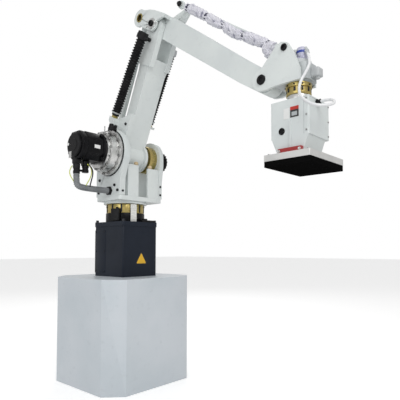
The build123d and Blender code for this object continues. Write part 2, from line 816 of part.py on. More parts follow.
BOX_X = (981, 1138)
BOX_Y = (-93, 57)
NECK_BACK = 35
MANIFOLD_DEPTH = 15
box_middle = (sum(BOX_X) / 2, sum(BOX_Y) / 2)
with BuildPart() as gripper_box:
    with BuildSketch(Plane.XY.offset(BOX_BOTTOM)):
        with Locations(box_middle):
            Rectangle(BOX_X[1] - BOX_X[0], BOX_Y[1] - BOX_Y[0])
    extrude(amount=BOX_TOP - BOX_BOTTOM)
    chamfer(gripper_box.edges().filter_by(Axis.Z), 4)
    with BuildSketch(side_plane(NECK_BACK)):
        Polygon(
            (BOX_X[0] + 4, BOX_BOTTOM),
            (1010, PLATE_TOP),
            (1112, PLATE_TOP),
            (BOX_X[1] - 4, BOX_BOTTOM),
            align=None,
        )
    extrude(amount=NECK_BACK - BOX_Y[0])

with BuildPart() as gripper_plate:
    with BuildSketch(Plane.XY.offset(FOAM_TOP)):
        with Locations((GRIPPER_X, 0)):
            RectangleRounded(186, 253, 3)
    extrude(amount=PLATE_TOP - FOAM_TOP)

with BuildPart() as foam_pad:
    with BuildSketch(Plane.XY.offset(FOAM_BOTTOM)):
        with Locations((GRIPPER_X, 0)):
            Rectangle(184, 251)
    extrude(amount=FOAM_TOP - FOAM_BOTTOM)

with BuildPart() as manifold:
    with BuildSketch(Plane.XY.offset(PLATE_TOP)):
        with Locations((1068, BOX_Y[0] - MANIFOLD_DEPTH / 2)):
            Rectangle(96, MANIFOLD_DEPTH)
    extrude(amount=19)

with BuildPart() as hose_fitting:
    with BuildSketch(Plane.YZ.offset(BOX_X[1])):
        with Locations(HOSE_ROUTE[-1][1:]):
            Circle(9)
    extrude(amount=HOSE_ROUTE[-1][0] - BOX_X[1])


def cord_tube(points, radius):
    """A hose of straight runs joined by the largest tangent arcs they allow."""
    route = [Vector(*point) for point in points]
    bends = []
    for before, corner, after in zip(route, route[1:], route[2:]):
        turn = radians((corner - before).get_angle(after - corner))
        shorter = min((corner - before).length, (after - corner).length)
        bends.append(0.45 * shorter / tan(turn / 2))
    with BuildPart() as tube:
        with BuildLine() as path:
            FilletPolyline(*route, radius=bends)
        with BuildSketch(Plane(origin=route[0], z_dir=route[1] - route[0])):
            Circle(radius)
        sweep()
    return tube, bends, sum(edge.length for edge in path.edges())


air_hose, hose_bends, hose_length = cord_tube(HOSE_ROUTE, HOSE_R)
print("hose bend radii", [round(bend) for bend in hose_bends])
print("hose length", round(hose_length), "volume ratio", round(
    air_hose.part.volume / (pi * HOSE_R**2 * hose_length), 4))

pieces = {
    "pedestal_shell": pedestal_shell,
    "pedestal_foot": pedestal_foot,
    "pedestal_top": pedestal_top,
    "base_housing": base_housing,
    "base_lid": base_lid,
    "lid_bolts": lid_bolts,
    "turn_motor": turn_motor,
    "adapter_ring": adapter_ring,
    "turn_reducer": turn_reducer,
    "home_sensor": home_sensor,
    "cable_strap": cable_strap,
    "turntable": turntable,
    "turret_floor": turret_floor,
    "near_cheek": near_cheek,
    "far_cheek": far_cheek,
    "near_web": near_web,
    "far_web": far_web,
    "bumpers": bumpers,
    "shoulder_reducer": shoulder_reducer,
    "reducer_screws": reducer_screws,
    "shoulder_motor": shoulder_motor,
    "motor_plugs": motor_plugs,
    "motor_conduit": motor_conduit,
    "elbow_reducer": elbow_reducer,
    "elbow_motor": elbow_motor,
    "lower_arm": lower_arm,
    "elbow_shaft": elbow_shaft,
    "elbow_cap": elbow_cap,
    "near_conduit": near_conduit,
    "far_conduit": far_conduit,
    "conduit_glands": conduit_glands,
    "conduit_cuffs": conduit_cuffs,
    "elbow_link": elbow_link,
    "link_pins": link_pins,
    "link_knob": link_knob,
    "forearm": forearm,
    "tail_plate": tail_plate,
    "tail_bushing": tail_bushing,
    "tail_pin": tail_pin,
    "wrist_near_cheek": wrist_near_cheek,
    "wrist_far_cheek": wrist_far_cheek,
    "wrist_housing": wrist_housing,
    "wrist_pins": wrist_pins,
    "wrist_caps": wrist_caps,
    "tool_motor": tool_motor,
    "wrist_port": wrist_port,
    "tool_reducer": tool_reducer,
    "upper_rod": upper_rod,
    "cable_sleeve": cable_sleeve,
    "lower_rod": lower_rod,
    "crank": crank,
    "crank_pin": crank_pin,
    "drive_rod": drive_rod,
    "tool_flange": tool_flange,
    "gripper_box": gripper_box,
    "gripper_plate": gripper_plate,
    "foam_pad": foam_pad,
    "manifold": manifold,
    "hose_fitting": hose_fitting,
    "air_hose": air_hose,
}

os.makedirs("parts", exist_ok=True)
for name, piece in pieces.items():
    piece.part.label = name
    export_step(piece.part, f"parts/{name}.step")
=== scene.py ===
"""Looks of a four-axis palletizing arm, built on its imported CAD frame. Metres, in the row frame."""

import json
import math

import bmesh
import bpy
from mathutils import Matrix, Vector, noise


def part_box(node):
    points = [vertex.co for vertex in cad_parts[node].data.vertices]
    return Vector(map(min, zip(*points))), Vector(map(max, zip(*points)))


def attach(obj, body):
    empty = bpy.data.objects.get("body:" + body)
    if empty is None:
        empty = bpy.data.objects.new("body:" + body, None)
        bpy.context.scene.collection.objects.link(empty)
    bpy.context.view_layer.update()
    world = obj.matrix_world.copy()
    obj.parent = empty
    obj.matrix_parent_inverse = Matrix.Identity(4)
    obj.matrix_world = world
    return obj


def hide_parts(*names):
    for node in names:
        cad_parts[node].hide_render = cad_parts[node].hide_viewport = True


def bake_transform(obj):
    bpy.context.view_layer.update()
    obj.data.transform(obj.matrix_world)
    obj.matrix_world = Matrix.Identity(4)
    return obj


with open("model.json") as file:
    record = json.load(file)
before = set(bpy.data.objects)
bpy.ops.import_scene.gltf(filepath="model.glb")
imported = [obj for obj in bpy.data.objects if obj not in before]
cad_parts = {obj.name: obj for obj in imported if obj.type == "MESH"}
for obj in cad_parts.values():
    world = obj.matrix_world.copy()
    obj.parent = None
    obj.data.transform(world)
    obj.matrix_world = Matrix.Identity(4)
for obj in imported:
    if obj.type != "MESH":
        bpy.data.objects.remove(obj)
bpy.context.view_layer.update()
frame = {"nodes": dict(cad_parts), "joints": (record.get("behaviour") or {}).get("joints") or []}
MM = 0.001
X, Y, Z = Vector((1, 0, 0)), Vector((0, 1, 0)), Vector((0, 0, 1))

joints = {joint["name"]: joint for joint in frame["joints"]}
SHOULDER = Vector(joints["shoulder"]["pos_m"])
ELBOW = Vector(joints["elbow"]["pos_m"])
WRIST = Vector(joints["wrist_level"]["pos_m"])
LINK_TOP = Vector(joints["upper_rod_turn"]["pos_m"])
WRIST_TOP = WRIST + LINK_TOP - ELBOW
TOOL_AXIS = Vector(joints["tool_turn"]["pos_m"])
ROD_ALONG = (WRIST_TOP - LINK_TOP).normalized()


def point(x, y, z):
    """A place given in millimetres."""
    return Vector((x, y, z)) * MM


def stood(x, y, z):
    """Upright, at a place given in millimetres."""
    return Matrix.Translation(point(x, y, z))


# Faces of the turret and the arm that small pieces stand on, in millimetres along Y.
NEAR_CHEEK_FACE, DRUM_FACE, CAP_FACE = -123, -140, -178
MOTOR_FACE, MOTOR_STEP, MOTOR_REAR, MOTOR_END = -192, -205, -287, -316
ARM_NEAR_FACE, ARM_FAR_FACE, FORK_FACE, ELBOW_CAP_FACE = -86, 62, -80, -81
WRIST_FACE = 60
PLUG_X = 34


# ---- camera, light and floor ---------------------------------------------


def in_scene(name, data):
    holder = bpy.data.objects.new(name, data)
    bpy.context.scene.collection.objects.link(holder)
    return holder


def add_camera():
    camera = bpy.data.cameras.new("camera")
    camera.lens = 38.8
    camera.sensor_width = 36
    camera.shift_x = -0.0458
    camera.shift_y = 0.080
    holder = in_scene("camera", camera)
    holder.location = (1.8544, -1.3920, 0.6536)
    holder.rotation_euler = (math.radians(92.4), 0, math.radians(40.9))
    bpy.context.scene.camera = holder


def add_light(name, place, target, size, power, colour=(1, 1, 1)):
    light = bpy.data.lights.new(name, "AREA")
    light.shape = "SQUARE"
    light.size = size
    light.energy = power
    light.color = colour
    holder = in_scene(name, light)
    holder.location = place
    holder.rotation_euler = (Vector(target) - Vector(place)).to_track_quat("-Z", "Y").to_euler()


def brighter_to_camera(tree, socket, low, high):
    """Lifts what the camera sees itself, without adding light to the object."""
    seen = tree.nodes.new("ShaderNodeLightPath").outputs["Is Camera Ray"]
    lift = tree.nodes.new("ShaderNodeMapRange")
    lift.inputs["To Min"].default_value = low
    lift.inputs["To Max"].default_value = high
    tree.links.new(seen, lift.inputs["Value"])
    tree.links.new(lift.outputs["Result"], socket)


def add_studio():
    world = bpy.data.worlds.new("studio")
    world.use_nodes = True
    tree = world.node_tree
    background = tree.nodes["Background"]
    background.inputs["Color"].default_value = (1.0, 1.0, 1.0, 1)
    brighter_to_camera(tree, background.inputs["Strength"], 0.58, 1.0)
    bpy.context.scene.world = world
    middle = (0.4, 0, 1.0)
    add_light("key", (3.4, -1.6, 3.4), middle, 2.2, 62, (1.0, 0.99, 0.97))
    add_light("fill", (1.2, -4.2, 1.8), middle, 2.4, 26, (0.96, 0.98, 1.0))
    add_light("rim", (-2.4, 2.4, 3.2), middle, 2.0, 34)
    bpy.context.scene.view_settings.view_transform = "Standard"


def add_floor():
    mesh = bpy.data.meshes.new("floor")
    half = 30
    corners = [(-half, -half, 0), (half, -half, 0), (half, half, 0), (-half, half, 0)]
    mesh.from_pydata(corners, [], [(0, 1, 2, 3)])
    floor = in_scene("floor", mesh)
    pale = bpy.data.materials.new("floor")
    pale.use_nodes = True
    shader = pale.node_tree.nodes["Principled BSDF"]
    shader.inputs["Base Color"].default_value = (0.93, 0.93, 0.93, 1)
    shader.inputs["Roughness"].default_value = 0.7
    shader.inputs["Emission Color"].default_value = (1, 1, 1, 1)
    brighter_to_camera(pale.node_tree, shader.inputs["Emission Strength"], 0, 0.30)
    mesh.materials.append(pale)


# ---- materials -----------------------------------------------------------


class Nodes:
    """A short way to add and link the nodes of one material."""

    def __init__(self, name):
        self.material = bpy.data.materials.new(name)
        self.material.use_nodes = True
        self.tree = self.material.node_tree
        self.shader = self.tree.nodes["Principled BSDF"]
        place = self.tree.nodes.new("ShaderNodeTexCoord")
        self.place = place.outputs["Object"]

    def add(self, kind, inputs=None, **settings):
        node = self.tree.nodes.new(kind)
        for key, value in settings.items():
            setattr(node, key, value)
        for key, value in (inputs or {}).items():
            if isinstance(value, bpy.types.NodeSocket):
                self.tree.links.new(value, node.inputs[key])
            else:
                node.inputs[key].default_value = value
        return node

    def noise(self, scale, detail=3.0, vector=None):
        inputs = {"Vector": vector or self.place, "Scale": scale, "Detail": detail}
        return self.add("ShaderNodeTexNoise", inputs).outputs["Fac"]

    def ranged(self, value, low, high, new_low, new_high):
        inputs = {
            "Value": value,
            "From Min": low,
            "From Max": high,
            "To Min": new_low,
            "To Max": new_high,
        }
        return self.add("ShaderNodeMapRange", inputs).outputs["Result"]

    def mix(self, share, first, second):
        node = self.add("ShaderNodeMix", data_type="RGBA")
        self.tree.links.new(share, node.inputs["Factor"])
        for key, value in ((6, first), (7, second)):
            if isinstance(value, bpy.types.NodeSocket):
                self.tree.links.new(value, node.inputs[key])
            else:
                node.inputs[key].default_value = (*value, 1)
        return node.outputs[2]

    def bump(self, height, strength, distance, below=None):
        inputs = {"Height": height, "Strength": strength, "Distance": distance}
        if below:
            inputs["Normal"] = below
        return self.add("ShaderNodeBump", inputs).outputs["Normal"]

    def uneven_gloss(self, scale, detail, low, high):
        self.link(self.ranged(self.noise(scale, detail), 0.3, 0.7, low, high), "Roughness")

    def link(self, socket, key):
        self.tree.links.new(socket, self.shader.inputs[key])

    def set(self, **values):
        for key, value in values.items():
            self.shader.inputs[key.replace("_", " ")].default_value = value


def edge_mask(nodes, radius):
    """Near 1 on convex and concave edges, 0 on flat faces."""
    rounded = nodes.add("ShaderNodeBevel", {"Radius": radius}, samples=4).outputs["Normal"]
    flat = nodes.add("ShaderNodeNewGeometry").outputs["Normal"]
    dot = nodes.add(
        "ShaderNodeVectorMath", {0: rounded, 1: flat}, operation="DOT_PRODUCT"
    ).outputs["Value"]
    return nodes.ranged(dot, 0.98, 0.80, 0.0, 1.0)


def painted(name, colour, shade, rough=0.42, peel=0.25, worn=None, shine=0.5):
    """Sprayed paint: slow colour drift, orange peel, uneven gloss and rubbed edges."""
    nodes = Nodes(name)
    drift = nodes.ranged(nodes.noise(5.0, 4.0), 0.35, 0.65, 0.0, 1.0)
    base = nodes.mix(drift, colour, shade)
    grime = nodes.ranged(nodes.noise(38.0, 6.0), 0.60, 0.78, 0.0, 0.35)
    base = nodes.mix(grime, base, tuple(0.80 * part for part in shade))
    if worn:
        patches = nodes.ranged(nodes.noise(60.0, 5.0), 0.5, 0.7, 0.0, 0.8)
        rubbed = nodes.add(
            "ShaderNodeMath", {0: edge_mask(nodes, 1.6 * MM), 1: patches}, operation="MULTIPLY"
        ).outputs["Value"]
        base = nodes.mix(rubbed, base, worn)
    nodes.link(base, "Base Color")
    nodes.uneven_gloss(22.0, 5.0, rough - 0.07, rough + 0.09)
    nodes.link(nodes.bump(nodes.noise(700.0, 2.0), peel, 0.12 * MM), "Normal")
    nodes.set(Specular_IOR_Level=shine)
    return nodes.material


def machined(name, colour, shade, rough=0.28, lines=900.0, metallic=1.0, direction=None):
    """Turned or milled metal: fine tool marks, smears and a little tarnish."""
    nodes = Nodes(name)
    stretch = nodes.add(
        "ShaderNodeMapping", {"Vector": nodes.place, "Scale": direction or (1.0, 6.0, 1.0)}
    ).outputs["Vector"]
    marks = nodes.noise(lines, 2.0, stretch)
    smear = nodes.ranged(nodes.noise(14.0, 5.0), 0.35, 0.68, 0.0, 1.0)
    base = nodes.mix(smear, colour, shade)
    nodes.link(base, "Base Color")
    nodes.uneven_gloss(45.0, 6.0, rough - 0.08, rough + 0.12)
    nodes.link(nodes.bump(marks, 0.35, 0.06 * MM), "Normal")
    nodes.set(Metallic=metallic)
    return nodes.material


def moulded(name, colour, shade, rough=0.5, grain=0.35, shine=0.5):
    """Moulded plastic or rubber: fine spark-eroded grain and faint colour drift."""
    nodes = Nodes(name)
    drift = nodes.ranged(nodes.noise(18.0, 4.0), 0.35, 0.7, 0.0, 1.0)
    nodes.link(nodes.mix(drift, colour, shade), "Base Color")
    nodes.uneven_gloss(60.0, 4.0, rough - 0.08, rough + 0.1)
    nodes.link(nodes.bump(nodes.noise(900.0, 2.0), grain, 0.1 * MM), "Normal")
    nodes.set(Specular_IOR_Level=shine)
    return nodes.material


def woven(name, colour, shade, thread, soil_and_shade_colour, soil_and_shade_noise=(30.0, 6.0), soil_and_shade_share=0.45):
    """Woven cloth: crossing threads in the bump and colour, creases in the bump, and soft dark patches
    in the colour that are real soil and, on the sleeve, also painted shade of its creases.
    """
    nodes = Nodes(name)
    turned = nodes.add(
        "ShaderNodeMapping", {"Vector": nodes.place, "Rotation": (0.0, math.radians(34.7), 0.0)}
    ).outputs["Vector"]
    scale = 1.0 / thread
    waves = []
    for direction in ("X", "Y", "Z"):
        wave = nodes.add(
            "ShaderNodeTexWave",
            {"Vector": turned, "Scale": scale / 20, "Distortion": 1.2, "Detail Scale": 2.0},
            wave_type="BANDS",
            bands_direction=direction,
        )
        waves.append(wave.outputs["Fac"])
    weave = waves[0]
    for wave in waves[1:]:
        weave = nodes.add("ShaderNodeMath", {0: weave, 1: wave}, operation="ADD").outputs["Value"]
    tone = nodes.ranged(weave, 0.6, 2.4, 0.0, 1.0)
    base = nodes.mix(tone, shade, colour)
    # Noise patches of the soil colour: real soil, and on the sleeve partly painted shade standing in
    # for the shadows of its wrinkles.
    soil_and_shade_mask = nodes.ranged(nodes.noise(*soil_and_shade_noise), 0.55, 0.68, 0.0, soil_and_shade_share)
    nodes.link(nodes.mix(soil_and_shade_mask, base, soil_and_shade_colour), "Base Color")
    creases = nodes.bump(nodes.noise(90.0, 5.0), 0.9, 2.0 * MM)
    nodes.link(nodes.bump(weave, 0.5, 0.2 * MM, creases), "Normal")
    nodes.set(Roughness=0.62, Sheen_Weight=0.2)
    return nodes.material


def foam(name, colour, shade):
    """Open-cell foam: pores as hollows in the bump, with painted shade darkening the colour in the
    hollows between paler cell rims.
    """
    nodes = Nodes(name)
    inputs = {"Vector": nodes.place, "Scale": 520.0}
    cells = nodes.add("ShaderNodeTexVoronoi", inputs).outputs["Distance"]
    pores = nodes.ranged(cells, 0.1, 0.6, 0.0, 1.0)
    # The darker colour in the pore hollows is painted shade.
    nodes.link(nodes.mix(pores, colour, shade), "Base Color")
    nodes.link(nodes.bump(pores, 0.9, 0.8 * MM), "Normal")
    nodes.set(Roughness=0.95, Specular_IOR_Level=0.0)
    return nodes.material


WHITE = painted("white_paint", (0.69, 0.73, 0.72), (0.63, 0.67, 0.67), 0.40, worn=(0.78, 0.80, 0.79))
WRIST_GREY = painted("grey_paint", (0.50, 0.53, 0.54), (0.42, 0.45, 0.46), 0.45)
PEDESTAL = painted("pedestal_paint", (0.60, 0.64, 0.68), (0.55, 0.60, 0.64), 0.36, 0.35)
SLATE = painted(
    "slate_paint", (0.013, 0.018, 0.030), (0.009, 0.013, 0.022), 0.38, 0.2, (0.04, 0.05, 0.07), 0.22
)
BLACK_PAINT = painted(
    "black_paint", (0.003, 0.003, 0.004), (0.005, 0.005, 0.006), 0.30, 0.2, (0.03, 0.03, 0.03), 0.16
)
BLACK_PLASTIC = moulded("black_plastic", (0.005, 0.005, 0.006), (0.009, 0.009, 0.010), 0.42, 0.3, 0.22)
CONDUIT = moulded("conduit_black", (0.004, 0.004, 0.005), (0.008, 0.008, 0.009), 0.36, 0.2, 0.2)
CONDUIT_GREY = moulded("conduit_grey", (0.22, 0.23, 0.24), (0.16, 0.17, 0.18), 0.40, 0.2)
GREY_PLASTIC = moulded("grey_plastic", (0.52, 0.54, 0.55), (0.44, 0.46, 0.47), 0.45)
LAVENDER = moulded("lavender_plastic", (0.50, 0.50, 0.62), (0.42, 0.42, 0.55), 0.5)
BLUE = moulded("blue_plastic", (0.02, 0.05, 0.30), (0.03, 0.07, 0.38), 0.4)
HOSE_WHITE = moulded("hose_white", (0.80, 0.81, 0.82), (0.72, 0.73, 0.75), 0.30, 0.15)
BUMPER = moulded("bumper_rubber", (0.62, 0.49, 0.30), (0.52, 0.40, 0.24), 0.6, 0.5)
YELLOW_GREEN = moulded("wire_yellow", (0.62, 0.66, 0.10), (0.50, 0.60, 0.08), 0.45)
STEEL = machined("bright_steel", (0.74, 0.74, 0.73), (0.58, 0.58, 0.57), 0.27)
DARK_STEEL = machined("dark_steel", (0.035, 0.036, 0.04), (0.06, 0.06, 0.065), 0.40)
SCREW_STEEL = machined("screw_steel", (0.42, 0.42, 0.42), (0.30, 0.30, 0.30), 0.32)
BRASS = machined("brass", (0.55, 0.43, 0.16), (0.36, 0.30, 0.11), 0.30)
PLATE = machined(
    "milled_plate", (0.74, 0.74, 0.72), (0.66, 0.66, 0.65), 0.42, 500.0, 0.6, (1.0, 14.0, 1.0)
)
RED = painted("red_anodised", (0.42, 0.035, 0.03), (0.34, 0.03, 0.03), 0.34)
SIGN_YELLOW = painted("sign_yellow", (0.78, 0.45, 0.02), (0.70, 0.40, 0.02), 0.40)
SIGN_BLACK = painted("sign_black", (0.02, 0.02, 0.02), (0.03, 0.03, 0.03), 0.45)
LABEL_WHITE = painted("label_white", (0.80, 0.81, 0.80), (0.74, 0.75, 0.74), 0.40)
LABEL_RED = painted("label_red", (0.55, 0.03, 0.02), (0.48, 0.03, 0.02), 0.40)
# The sleeve's dark blue soil colour is partly real dark marks and partly painted shade of its creases
# and wrinkles.
TEXTILE = woven(
    "sleeve_textile",
    (0.74, 0.74, 0.78),
    (0.58, 0.57, 0.66),
    1.1 * MM,
    (0.07, 0.07, 0.15),
    (34.0, 4.0),
    0.75,
)
TAPE = woven("white_tape", (0.76, 0.76, 0.74), (0.62, 0.62, 0.60), 1.6 * MM, (0.5, 0.5, 0.48))
DARK_TAPE = woven("dark_tape", (0.03, 0.03, 0.07), (0.02, 0.02, 0.05), 1.6 * MM, (0.05, 0.05, 0.09))
FOAM = foam("black_foam", (0.0015, 0.0015, 0.0015), (0.006, 0.006, 0.006))


# ---- shapes --------------------------------------------------------------


def facing(origin, z_dir, x_hint=(0, 0, 1)):
    """A placement whose local Z points along z_dir."""
    z = Vector(z_dir).normalized()
    x = Vector(x_hint)
    if abs(x.normalized().dot(z)) > 0.999:
        x = Vector((1, 0, 0))
    x = (x - z * x.dot(z)).normalized()
    return Matrix.Translation(origin) @ Matrix((x, z.cross(x), z)).transposed().to_4x4()


def spline_points(points):
    """Points along the smooth line that a NURBS of order 3 makes of a route."""
    curve = bpy.data.curves.new("line", "CURVE")
    curve.dimensions = "3D"
    curve.resolution_u = 16
    spline = curve.splines.new("NURBS")
    spline.points.add(len(points) - 1)
    for slot, place in zip(spline.points, points):
        slot.co = (*place, 1)
    spline.order_u = 3
    spline.use_endpoint_u = True
    holder = bpy.data.objects.new("line", curve)
    mesh = bpy.data.meshes.new_from_object(holder)
    line = [vertex.co.copy() for vertex in mesh.vertices]
    bpy.data.meshes.remove(mesh)
    bpy.data.curves.remove(curve)
    return line


def routed(route):
    """The smooth line of a route whose places are given in millimetres."""
    return spline_points([point(*place) for place in route])


def evenly(line, step):
    """The line again, with points about one step apart, and its length."""
    along = [0.0]
    for before, after in zip(line, line[1:]):
        along.append(along[-1] + (after - before).length)
    count = max(2, round(along[-1] / step) + 1)
    made, i = [], 0
    for k in range(count):
        at = along[-1] * k / (count - 1)
        while i < len(line) - 2 and along[i + 1] < at:
            i += 1
        share = (at - along[i]) / max(along[i + 1] - along[i], 1e-12)
        made.append(line[i].lerp(line[i + 1], min(1.0, share)))
    return made, along[-1]


class Shape:
    """Collects closed bits of mesh that become one piece."""

    def __init__(self):
        self.mesh = bmesh.new()

    def face_strip(self, first, second):
        """Joins two rings of vertices; either may be a single point."""
        count = max(len(first), len(second))
        if count == 1:
            return
        for i in range(count):
            k = (i + 1) % count
            around = [
                first[i % len(first)],
                first[k % len(first)],
                second[k % len(second)],
                second[i % len(second)],
            ]
            corners = list(dict.fromkeys(around))
            if len(corners) > 2:
                self.mesh.faces.new(corners)

    def block(self, size, place, edge=1.5 * MM, steps=2):
        """A block with rounded edges."""
        scale = Matrix.Diagonal((*size, 1))
        made = bmesh.ops.create_cube(self.mesh, size=1.0, matrix=place @ scale)
        edges = {line for corner in made["verts"] for line in corner.link_edges}
        bmesh.ops.bevel(
            self.mesh, geom=list(edges), offset=edge, segments=steps, affect="EDGES", profile=0.5
        )

    def turned(self, profile, place, steps=48, ring=False):
        """Turns (radius, height) points, in millimetres, about local Z; "hex" makes flats."""
        rings = []
        for radius, height, *kind in profile:
            if radius < 1e-9:
                rings.append([self.mesh.verts.new(place @ (Z * height * MM))])
                continue
            made = []
            for i in range(steps):
                angle = 2 * math.pi * i / steps
                reach = radius
                if kind:
                    reach = radius / math.cos((angle + math.pi / 6) % (math.pi / 3) - math.pi / 6)
                spot = Vector((reach * math.cos(angle), reach * math.sin(angle), height)) * MM
                made.append(self.mesh.verts.new(place @ spot))
            rings.append(made)
        for first, second in zip(rings, rings[1:]):
            self.face_strip(first, second)
        if ring:
            self.face_strip(rings[-1], rings[0])

    def cap_screw(self, place, radius, height, steps=24):
        """A socket head cap screw's head with its hexagon socket, in millimetres."""
        self.turned(
            [
                (0, 0), (radius, 0), (radius, 0.88 * height), (0.92 * radius, height),
                (0.60 * radius, height), (0.52 * radius, 0.96 * height, "hex"),
                (0.50 * radius, 0.40 * height, "hex"), (0, 0.40 * height),
            ],
            place,
            steps,
        )

    def hex_head(self, place, radius, height):
        """A hexagon bolt head on its washer, in millimetres."""
        washer, thick = 1.25 * radius, 0.2 * height
        self.turned([(0, 0), (washer, 0), (washer, thick), (0, thick)], place)
        self.turned(
            [
                (0, 0.2 * height), (0.87 * radius, 0.2 * height, "hex"),
                (0.87 * radius, 0.92 * height, "hex"), (0.80 * radius, height), (0, height),
            ],
            place,
        )

    def swept(self, line, radius, sides=20):
        """A closed tube along points; radius is a number or a function of (share, angle)."""
        tangents = []
        for i in range(len(line)):
            before, after = line[max(i - 1, 0)], line[min(i + 1, len(line) - 1)]
            tangents.append((after - before).normalized())
        side = tangents[0].orthogonal()
        side = (side - tangents[0] * side.dot(tangents[0])).normalized()
        rings = []
        for i, (place, along) in enumerate(zip(line, tangents)):
            side = (side - along * side.dot(along)).normalized()
            other = along.cross(side)
            share = i / (len(line) - 1)
            ring = []
            for k in range(sides):
                angle = 2 * math.pi * k / sides
                reach = radius(share, angle) if callable(radius) else radius
                spot = place + (side * math.cos(angle) + other * math.sin(angle)) * reach
                ring.append(self.mesh.verts.new(spot))
            rings.append(ring)
        for first, second in zip(rings, rings[1:]):
            self.face_strip(first, second)
        self.mesh.faces.new(list(reversed(rings[0])))
        self.mesh.faces.new(rings[-1])

    def prism(self, outline, place, depth, edge=1.0 * MM):
        """A flat outline of (x, y) points given a depth along local Z, with rounded edges."""
        low = [self.mesh.verts.new(place @ Vector((x, y, 0))) for x, y in outline]
        high = [self.mesh.verts.new(place @ Vector((x, y, depth))) for x, y in outline]
        made = [self.mesh.faces.new(list(reversed(low))), self.mesh.faces.new(high)]
        count = len(outline)
        for i in range(count):
            k = (i + 1) % count
            made.append(self.mesh.faces.new([low[i], low[k], high[k], high[i]]))
        if edge:
            edges = list({line for face in made for line in face.edges})
            bmesh.ops.bevel(self.mesh, geom=edges, offset=edge, segments=2, affect="EDGES", profile=0.5)


def finished(name, shape, material, body, nodes=(), sharp=38):
    """Turns a shape into a piece that rides on a body and stands for CAD nodes."""
    bmesh.ops.recalc_face_normals(shape.mesh, faces=shape.mesh.faces)
    mesh = bpy.data.meshes.new(name)
    shape.mesh.to_mesh(mesh)
    shape.mesh.free()
    mesh.polygons.foreach_set("use_smooth", [True] * len(mesh.polygons))
    mesh.set_sharp_from_angle(angle=math.radians(sharp))
    mesh.materials.append(material)
    piece = in_scene(name, mesh)
    if body:
        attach(piece, body)
    if nodes:
        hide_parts(*nodes)
    return piece


# ---- the air hose --------------------------------------------------------

HOSE_ROUTE = (
    (1097, -24, 1364), (1116, -38, 1326), (1116, -66, 1282), (1105, -92, 1240),
    (1109, -112, 1197), (1136, -128, 1159), (1176, -128, 1131), (1211, -104, 1128),
    (1221, -64, 1144), (1196, -38, 1172), (1154, -38, 1172),
)
HOSE_DIAMETER = 10 * MM


def add_hose():
    line = routed(HOSE_ROUTE)
    tube = Shape()
    tube.swept(line, HOSE_DIAMETER / 2, 20)
    hose = finished("air_hose_tube", tube, HOSE_WHITE, None, ["air_hose"], 60)
    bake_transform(hose)


# ---- finishes of the CAD nodes that show as they are ---------------------

# (material, edge radius in millimetres, nodes)
NODE_FINISH = (
    (PEDESTAL, 1.5, "pedestal_shell"),
    (PEDESTAL, 1.0, "pedestal_foot pedestal_top"),
    (SLATE, 2.0, "base_housing base_lid"),
    (BLACK_PAINT, 1.0, "turn_motor"),
    (BLACK_PAINT, 1.5, "adapter_ring"),
    (BRASS, 1.5, "turn_reducer elbow_reducer tool_reducer"),
    (
        WHITE,
        2.0,
        "turntable near_web far_web elbow_link wrist_near_cheek wrist_far_cheek "
        "drive_rod gripper_box",
    ),
    (WHITE, 3.0, "turret_floor near_cheek far_cheek lower_arm forearm"),
    (STEEL, 2.0, "shoulder_reducer"),
    (STEEL, 1.0, "elbow_shaft link_pins wrist_pins tool_flange"),
    (WHITE, 2.5, "tail_plate"),
    (BRASS, 0.8, "tail_bushing"),
    (DARK_STEEL, 1.0, "tail_pin crank_pin"),
    (WRIST_GREY, 3.0, "wrist_housing"),
    (WHITE, 1.5, "upper_rod lower_rod"),
    (WRIST_GREY, 1.5, "crank"),
    (PLATE, 2.0, "gripper_plate"),
    (FOAM, 1.5, "foam_pad"),
    (RED, 1.5, "manifold"),
)


def finish_nodes():
    """Paints each shown CAD node and rounds its edges with a modifier."""
    finishes = [(name, look, edge) for look, edge, names in NODE_FINISH for name in names.split()]
    for name, material, edge in finishes:
        node = frame["nodes"][name]
        node.data.materials.clear()
        node.data.materials.append(material)
        weld = node.modifiers.new("weld", "WELD")
        weld.merge_threshold = 0.02 * MM
        bevel = node.modifiers.new("edges", "BEVEL")
        bevel.width = edge * MM
        bevel.segments = 2
        bevel.limit_method = "ANGLE"
        bevel.angle_limit = math.radians(40)
        bevel.use_clamp_overlap = True
        bevel.harden_normals = False


# ---- base ----------------------------------------------------------------


def strip(shape, line, across, width, thickness):
    """A flat tape of one width along points."""
    rings = []
    for i, place in enumerate(line):
        before, after = line[max(i - 1, 0)], line[min(i + 1, len(line) - 1)]
        out = (after - before).normalized().cross(across)
        half, outer = across * width / 2, place + out * thickness
        ring = [place - half, place + half, outer + half, outer - half]
        rings.append([shape.mesh.verts.new(corner) for corner in ring])
    for first, second in zip(rings, rings[1:]):
        shape.face_strip(first, second)
    shape.mesh.faces.new(list(reversed(rings[0])))
    shape.mesh.faces.new(rings[-1])


